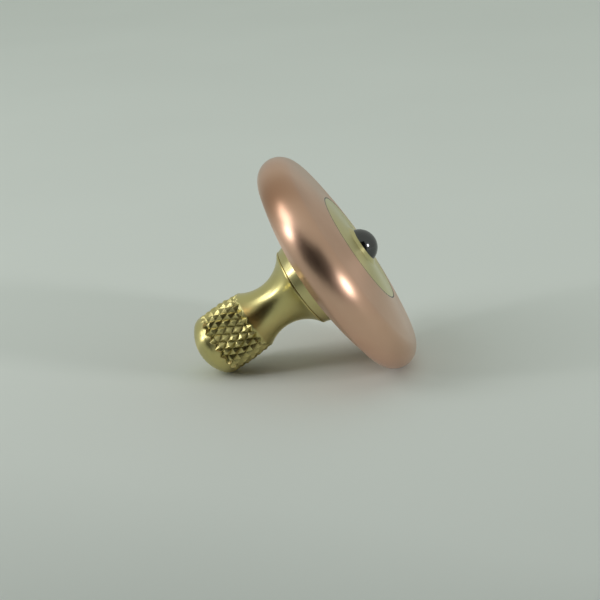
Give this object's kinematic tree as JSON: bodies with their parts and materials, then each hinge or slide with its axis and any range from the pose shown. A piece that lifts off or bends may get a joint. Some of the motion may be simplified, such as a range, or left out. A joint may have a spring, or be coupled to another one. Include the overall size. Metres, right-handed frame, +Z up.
{
  "type": "spinning top",
  "caption": "Finger spinning top: rounded copper flywheel on a brass core, hollow-curved brass stem with a diamond-knurled domed grip, and a dark ceramic ball set in the tip face.",
  "frame": {"origin": "bottom centre of the box around the top as it lies at rest: z = 0 is the table, which the flywheel's rim and the end of the grip touch", "axes": "+Z up from the table. The spin axis lies in the XZ plane and points towards +X and up, 31.81 degrees above the table, from the grip to the ball. +Y is across the flywheel"},
  "size_m": [0.029, 0.032, 0.028],
  "materials": {
    "flywheel_copper": "satin, turned, bare copper",
    "core_brass": "satin, turned",
    "stem_brass": "satin, turned and knurled",
    "ball_ceramic": "polished"
  },
  "bodies": {
    "root": {"flywheel": "flywheel_copper", "core": "core_brass", "stem": "stem_brass", "tip_ball": "ball_ceramic"}
  },
  "joints": []
}
